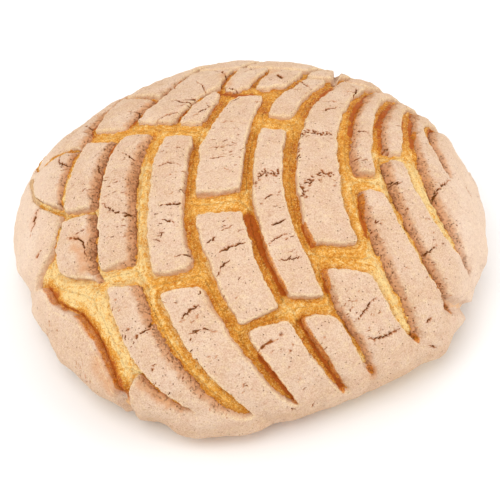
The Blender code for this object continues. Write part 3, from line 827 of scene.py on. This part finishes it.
class ConchaSizes(bpy.types.PropertyGroup):
    tile_grain: size_setting("Tile grain", "Spacing of the mesh on a tile", 0.36)
    rim_grain: size_setting("Rim grain", "Spacing of the mesh on the rim", 0.63)
    bread_grain: size_setting("Bread grain", "Spacing of the mesh on the bread", 0.68)
    rise: size_setting("Rise", "Height of the bread in a narrow groove", 1.2)
    bulge: size_setting("Bulge", "How much higher it stands in a wide gap", 1.0)
    unevenness: size_setting("Unevenness", "Height of the slow swells in the paste", 0.3)
    spread: size_setting("Spread", "How far the tops of the tiles reach out", 0.35)


class ConchaColors(bpy.types.PropertyGroup):
    paste_pale: color_setting("Paste, pale", "The lightest paste", 219, 190, 166)
    paste_warm: color_setting("Paste, warm", "The usual paste", 211, 176, 147)
    paste_pink: color_setting("Paste, pink", "Pinker patches", 208, 166, 141)
    paste_light: color_setting("Paste, light specks", "Fine light specks", 242, 218, 186)
    paste_dark: color_setting("Paste, dark specks", "Fine dark specks", 176, 130, 94)
    # Paste, cream is the painted highlight along the edges, and creamy patches.
    paste_cream: color_setting("Paste, cream", "Edges and creamy patches", 238, 212, 162)
    # Painted light at both sides of the loaf.
    paste_side_light: color_setting("Paste, sides", "Paler at both sides", 246, 228, 212)
    pore: color_setting("Pore", "Pinpricks in the paste", 116, 68, 20)
    wall_pale: color_setting("Wall, outer", "Walls that face away", 222, 182, 136)
    # The three wall colours stand for browner paste and painted shade together, darkest at the
    # foot of a slope.
    wall_high: color_setting("Wall, upper", "Where a tile slopes down", 208, 148, 102)
    wall_mid: color_setting("Wall, middle", "Halfway down a slope", 194, 124, 78)
    wall_low: color_setting("Wall, foot", "The foot of a slope", 146, 80, 36)
    crack: color_setting("Crack", "The inside of a crack", 104, 60, 8)
    crack_red: color_setting("Crack, redder", "Redder parts of a crack", 150, 76, 12)
    # On the bread the crust colours follow its tone, so the pale end also carries painted light
    # and the dark end painted shade beside the walls.
    crust_pale: color_setting("Crust, pale", "Bread along an edge", 246, 212, 146)
    crust_gold: color_setting("Crust, gold", "Bread in the wide gaps", 232, 164, 62)
    crust_amber: color_setting("Crust, amber", "Bread in the narrow grooves", 214, 136, 28)
    # Crust, dark is toasted bread, and also painted shade in the grooves and crevices.
    crust_dark: color_setting("Crust, dark", "Toasted bread", 182, 88, 2)
    crust_fleck: color_setting("Crust flecks", "Light flakes on the bread", 246, 208, 130)
    crust_speck: color_setting("Crust specks", "Dark specks on the bread", 164, 88, 22)
    base_brown: color_setting("Base, brown", "The underside", 190, 122, 58)
    base_dark: color_setting("Base, dark", "Darker patches underneath", 150, 88, 38)
    floor: color_setting("Floor", "The studio floor", 246, 246, 246)


def sizes():
    return bpy.context.scene.concha_sizes


def colors():
    return bpy.context.scene.concha_colors


def shared_material(name, maker):
    return bpy.data.materials.get(name) or maker(colors())


def finished(piece, node, material):
    """Give the piece its material and smooth faces; it stands for the node and rides as it did."""
    piece.data.materials.append(material)
    piece.data.polygons.foreach_set("use_smooth", np.ones(len(piece.data.polygons), bool))
    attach(piece, "root")
    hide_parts(node)


# ---- the paste

TILES = sorted(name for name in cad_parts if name.startswith("tile"))
ALL_ROWS = np.concatenate([edge_samples(name) for name in ("paste_rim", *TILES)])
ALL_EDGES = Edges(ALL_ROWS)
ALL_INWARD = inwardness(ALL_ROWS)
ALL_ROOM = opening(ALL_EDGES, ALL_ROWS)
ALL_SLOPE = slope_lengths(ALL_ROWS, ALL_INWARD, ALL_ROOM)
ALL_BACK = RECESS * by_bare_bread(ALL_ROWS) * ramp(ALL_ROWS[:, 2] + ALL_ROWS[:, 3], 0.0, 0.8)
STROKES = crack_strokes() + slash_strokes(ALL_ROWS, ALL_SLOPE, random.Random(7))


def placed(piece):
    """Each vertex's place on the map, how far inside an edge it is, and the nearest sample."""
    place = flatten(vertices(piece))
    return place, *ALL_EDGES.look(place[:, :2])


def shaped_edges(piece):
    """Give the tops their true edges: crisp outwards, a long slope towards the middle."""
    place, inside, near = placed(piece)
    row, inward, slope = ALL_ROWS[near], ALL_INWARD[near], ALL_SLOPE[near]
    low = 1 - ramp(np.hypot(place[:, 0], place[:, 1]), SKIRT - 4.0, SKIRT)
    short = inward * (1 - ramp(slope, 0.5, 2.0))
    soft = np.clip(-row[:, 3], 0, 1) * ramp(place[:, 1], 0.0, 12.0) * (1 - inward)
    width = 0.45 + 0.8 * inward + 1.5 * short + 0.7 * soft
    t = np.clip(inside / width, 0.0, 1.0)
    drop = (SKIN - WALL_TOP) * (1 - 0.35 * inward) + 0.9 * short + 0.3 * soft
    rounded = (1 - np.sqrt(1 - (1 - t) ** 2)) * (1 - inward) + (1 - t) ** 1.4 * inward
    top = SKIN - drop * rounded + 0.35 * ramp(inside, 0.0, 5.0)
    upper = ramp(place[:, 2], 2.1, 2.6) * (inside > -0.2) * low
    wall = np.clip((place[:, 2] - GAP) / (WALL_TOP - GAP), 0.0, 1.0)
    lifted = place[:, 2] + inward * (0.6 * (1 - wall) * ramp(place[:, 2], GAP, 0.6)
                                     + (SKIN - drop - WALL_TOP) * wall)
    place[:, 2] = lifted + (top - lifted) * upper * (1 - ramp(inside, 5.0, 8.0))
    place[:, 2] += 0.35 * upper * ramp(inside, 5.0, 8.0)
    open_here = ramp(ALL_ROOM[near], 1.0, 3.0)
    out = sizes().spread / MM * (1 - inward) * open_here + slope * (1 - wall) ** 0.9
    out -= ALL_BACK[near]
    out *= (1 - ramp(inside, 0.6, 4.0)) * low * ramp(place[:, 2], 0.1, 0.6)
    place[:, :2] += row[:, 2:4] * out[:, None]
    put_vertices(piece, lift(place))
    inside = inside - slope * (1 - wall) * (inside < 1) - ALL_BACK[near]
    note(piece, "inside", np.maximum(inside, -2.0))
    note(piece, "inward", inward * (1 - ramp(inside, 1.0, 2.6)))
    note(piece, "slope", np.clip((width - inside) / (width + slope), 0.0, 1.0) * inward)


def worked_paste(piece, seed):
    """Edges that wander, slow swells, cracks and torn slopes; then what the material reads."""
    place = flatten(vertices(piece))
    inside, inward = kept(piece, "inside"), kept(piece, "inward")
    top = ramp(place[:, 2], 1.0, 2.0)
    upper = ramp(place[:, 2], 0.4, 1.2)
    flat = place * (1, 1, 0)
    for axis in (0, 1):
        place[:, axis] += 0.20 * lumps(flat, 9.0, 1 + axis) * upper
        for far, size, turn in WANDER:
            place[:, axis] += far * lumps(flat, size, seed + turn * axis) * upper
    xy = place[:, :2]
    depth, dark = carved(xy, STROKES)
    swell = sizes().unevenness / MM * lumps(flat, 13.0, 5)
    swell += 0.18 * lumps(flat, 4.5, 6) + 0.10 * lumps(flat, 1.8, 7) + 0.05 * lumps(flat, 0.8, 8)
    swell += skirt_relief(xy)
    place[:, 2] += top * (swell - depth)
    place[:, 2] -= 0.16 * inward * lumps(flat, 1.0, 9) * ramp(place[:, 2], 0.8, 1.6)
    put_vertices(piece, lift(place))
    points = vertices(piece)
    rough = 0.14 * lumps(points / MM, 0.9, 11) * (1 - ramp(inside, 0.0, 1.0))
    rough = (rough + 0.03 * lumps(points / MM, 0.8, 10)) * upper
    points += vertices(piece, "normal") * rough[:, None] * MM
    put_vertices(piece, points)
    note(piece, "height", np.clip((place[:, 2] + top * (depth - swell)) / SKIN, 0.0, 1.2))
    note(piece, "crack", dark * top)
    near_edge = ramp(inside, -0.3, 0.1) * (1 - ramp(inside, 0.35, 0.8))
    # Where a painted highlight runs along the outer edge of a top.
    note(piece, "lip", near_edge * (1 - inward) * ramp(place[:, 2], 2.4, 3.0))
    note(piece, "stain", along_lines(xy, BROWN_PATCHES) * top)
    # Toasted colour and painted shade along the listed lines, near the foot of the walls.
    note(piece, "toast", along_lines(xy, TOASTED_AND_SHADED) * (1 - ramp(inside, 0.4, 1.3)))
    piece.data.attributes.remove(piece.data.attributes["inside"])


def near_strokes(piece, reach):
    """Which vertices lie near a crack, on the top."""
    place = flatten(vertices(piece))
    wide = [(a, b, reach, 1.0) for a, b, _, _ in STROKES]
    depth, _ = carved(place[:, :2], wide)
    return (depth > 0.05) & (place[:, 2] > 0.9)


def near_edges(piece, reach):
    """Which vertices are on the ribs in front, or within reach of any edge there."""
    place, inside, _ = placed(piece)
    s = np.hypot(place[:, 0], place[:, 1])
    return (inside < reach) & (s < SKIRT) & (place[:, 2] > 1.2) & (place[:, 1] < 12.0)


def paste_piece(node, grain, seed):
    """A piece of paste from the solid of that name, worked over and finished."""
    piece = remeshed_copy(node, grain)
    if node == "paste_rim":
        place = flatten(vertices(piece))
        thin_out(piece, place[:, 2] < 1.15)
        finer(piece, near_edges(piece, 1.6))
    shaped_edges(piece)
    for reach in CRACK_REACH:
        finer(piece, near_strokes(piece, reach))
    worked_paste(piece, seed)
    finished(piece, node, shared_material("sugar_paste", paste_material))


# ---- the bread

def bread_tone(xy, free, row, inward, width):
    """How dark the bread is painted, 0 to 1: toasted in places, with painted shade beside walls
    that face the middle and at the foot of slopes, painted light beside walls that face away,
    darker towards the back; free is how far it is from the foot of the paste.
    """
    x, y = xy[:, 0], xy[:, 1]
    tone = 0.60 - 0.24 * ramp(width, 3.5, 6.0)
    tone -= 0.30 * ramp(-x, 19.0, 32.0) * ramp(-y, -9.0, 3.0)
    tone -= 0.34 * ramp(x, 28.0, 38.0) * ramp(-y, -12.0, 0.0)
    # Painted shade on the floor beside a wall that faces the middle, painted light beside one that
    # faces away.
    lean = -row[:, 2] * np.tanh((x - 6.0) / 8.0)
    tone += 0.14 * np.clip(lean, 0, 1) * (1 - ramp(free, 0.8, 2.6)) * (1 - inward)
    tone -= 0.34 * np.clip(-lean, 0, 1) * (1 - ramp(free, 0.3, 1.5))
    # Painted shade at the foot of a slope towards the middle.
    tone += 0.35 * inward * (1 - ramp(free, 0.1, 0.7))
    tone += 0.12 * ramp(y, 5.0, 25.0)
    return np.clip(tone + 0.9 * along_lines(xy, TOASTED_AND_SHADED), 0.0, 1.15)


# ---- the operators

class CONCHA_OT_bread(bpy.types.Operator):
    """The loaf: golden where it shows in the grooves, brown and flat underneath"""
    bl_idname = "concha.bread"
    bl_label = "Bread"

    def execute(self, context):
        piece = remeshed_copy("bun", sizes().bread_grain)
        place, inside, near = placed(piece)
        thin_out(piece, (inside - ALL_BACK[near] > 0.9) & (place[:, 2] > -2.0))
        place, inside, near = placed(piece)
        covered = inside - ALL_BACK[near] + 0.6 * ALL_SLOPE[near]
        finer(piece, (covered < 0.4) & (np.hypot(place[:, 0], place[:, 1]) < 84.0))
        points = vertices(piece)
        foot = points[:, 2] < 0.5 * MM
        place, inside, near = placed(piece)
        inside -= ALL_BACK[near]
        row, inward, width = ALL_ROWS[near], ALL_INWARD[near], ALL_ROOM[near]
        free = np.maximum(-inside - 0.85 * ALL_SLOPE[near], 0.0)
        s = np.hypot(place[:, 0], place[:, 1])
        under = 0.45 + 0.6 * ramp(s, 62.0, 74.0)
        rise = np.full(len(s), sizes().rise / MM)
        rise += sizes().bulge / MM * ramp(width, 3.5, 6.5) * ramp(free, 0.2, 2.2) * (
            1 - 0.8 * ramp(place[:, 1], 0.0, 14.0))
        narrow = 1 - ramp(width, 1.0, 2.4)
        rise += narrow * (0.5 + 0.9 * ramp(-place[:, 0], 42.0, 50.0))
        rise += 0.9 * ramp(place[:, 1], 0.0, 14.0)
        flat = place * (1, 1, 0)
        under += 0.9 * skirt_relief(place[:, :2])
        rise += 0.24 * lumps(flat, 1.6, 21) + 0.20 * lumps(flat, 0.8, 22)
        rise += 0.25 * lumps(flat, 5.0, 23)
        closed = along_lines(place[:, :2], CLOSED)
        rise += 0.4 * closed
        bare = ramp(-inside, -0.5, 0.1) * (1 - ramp(s, 78.0, 82.0))
        place[:, 2] = under + (rise - 0.45) * bare
        moved = lift(place)
        moved[foot] = points[foot]
        sole = 0.25 * np.maximum(0.0, lumps(points / MM, 6.0, 24)) * ramp(
            BREAD_FOOT - np.hypot(points[:, 0], points[:, 1]) / MM, 3.0, 8.0)
        moved[foot, 2] = points[foot, 2] + (sole * MM)[foot]
        moved[:, 2] = np.maximum(moved[:, 2], 0.0)
        put_vertices(piece, moved)
        note(piece, "tone", bread_tone(place[:, :2], free, row, inward, width))
        note(piece, "dust", closed)
        note(piece, "flow", np.stack([0.3 * row[:, 4], inside, 0 * inside], 1) * MM)
        note(piece, "base", np.where(foot, 1.0, 1 - ramp(points[:, 2] / MM, 0.5, 3.5)))
        finished(piece, "bun", shared_material("baked_bread", bread_material))
        return {"FINISHED"}


class CONCHA_OT_rim(bpy.types.Operator):
    """The rim of paste with the ribs that stand on it"""
    bl_idname = "concha.rim"
    bl_label = "Rim"

    def execute(self, context):
        paste_piece("paste_rim", sizes().rim_grain, 40)
        return {"FINISHED"}


class CONCHA_OT_tiles(bpy.types.Operator):
    """The separate tiles of paste inside the rim"""
    bl_idname = "concha.tiles"
    bl_label = "Tiles"

    def execute(self, context):
        for i, node in enumerate(TILES):
            paste_piece(node, sizes().tile_grain, 50 + i)
        return {"FINISHED"}


class CONCHA_OT_stage(bpy.types.Operator):
    """A pale floor, soft studio light and the camera"""
    bl_idname = "concha.stage"
    bl_label = "Studio"

    def execute(self, context):
        scene = context.scene
        bpy.ops.object.select_all(action="DESELECT")
        bpy.ops.mesh.primitive_plane_add(size=6.0, location=(0, 0, 0))
        floor = context.active_object
        floor.name = "studio_floor"
        floor.data.materials.append(shared_material("studio_floor", floor_material))
        world = bpy.data.worlds.new("studio")
        scene.world = world
        world.use_nodes = True
        sky = world.node_tree.nodes["Background"]
        sky.inputs["Color"].default_value = (1, 1, 1, 1)
        sky.inputs["Strength"].default_value = SKY
        for light in LIGHTS:
            self.light(*light)
        self.camera(scene)
        scene.view_settings.view_transform = "Standard"
        return {"FINISHED"}

    def light(self, name, place, size, power):
        bpy.ops.object.light_add(type="AREA", location=place)
        lamp = bpy.context.active_object
        lamp.name = name
        lamp.data.size = size
        lamp.data.energy = power
        aim = Vector((0, 0, 0.02)) - Vector(place)
        lamp.rotation_euler = aim.to_track_quat("-Z", "Y").to_euler()

    def camera(self, scene):
        tilt = math.radians(CAMERA_TILT)
        target = Vector((0.0, CENTRE_Y, MIDDLE)) * MM
        back = Vector((0.0, -math.cos(tilt), math.sin(tilt)))
        up = Vector((0.0, math.sin(tilt), math.cos(tilt)))
        place = target + back * CAMERA_AWAY
        aim = target - up * CAMERA_DROP - place
        bpy.ops.object.camera_add(location=place)
        camera = bpy.context.active_object
        camera.name = "camera"
        camera.rotation_euler = aim.to_track_quat("-Z", "Y").to_euler()
        camera.data.lens = LENS
        camera.data.sensor_width = 36.0
        camera.data.clip_start = 0.05
        scene.camera = camera


class CONCHA_PT_panel(bpy.types.Panel):
    """The steps that dress the concha, in order"""
    bl_idname = "CONCHA_PT_panel"
    bl_label = "Concha"
    bl_space_type = "VIEW_3D"
    bl_region_type = "UI"
    bl_category = "Concha"

    def draw(self, context):
        for step in STEPS:
            self.layout.operator(step.bl_idname)
        for group in (context.scene.concha_sizes, context.scene.concha_colors):
            for name in group.bl_rna.properties.keys():
                if name not in ("rna_type", "name"):
                    self.layout.prop(group, name)


STEPS = (CONCHA_OT_stage, CONCHA_OT_bread, CONCHA_OT_rim, CONCHA_OT_tiles)
CLASSES = (ConchaSizes, ConchaColors, *STEPS, CONCHA_PT_panel)


def register():
    for cls in CLASSES:
        bpy.utils.register_class(cls)
    bpy.types.Scene.concha_sizes = bpy.props.PointerProperty(type=ConchaSizes)
    bpy.types.Scene.concha_colors = bpy.props.PointerProperty(type=ConchaColors)


def unregister():
    del bpy.types.Scene.concha_colors
    del bpy.types.Scene.concha_sizes
    for cls in reversed(CLASSES):
        bpy.utils.unregister_class(cls)


def main():
    register()
    bpy.ops.concha.stage()
    bpy.ops.concha.bread()
    bpy.ops.concha.rim()
    bpy.ops.concha.tiles()


if __name__ == "__main__":
    main()
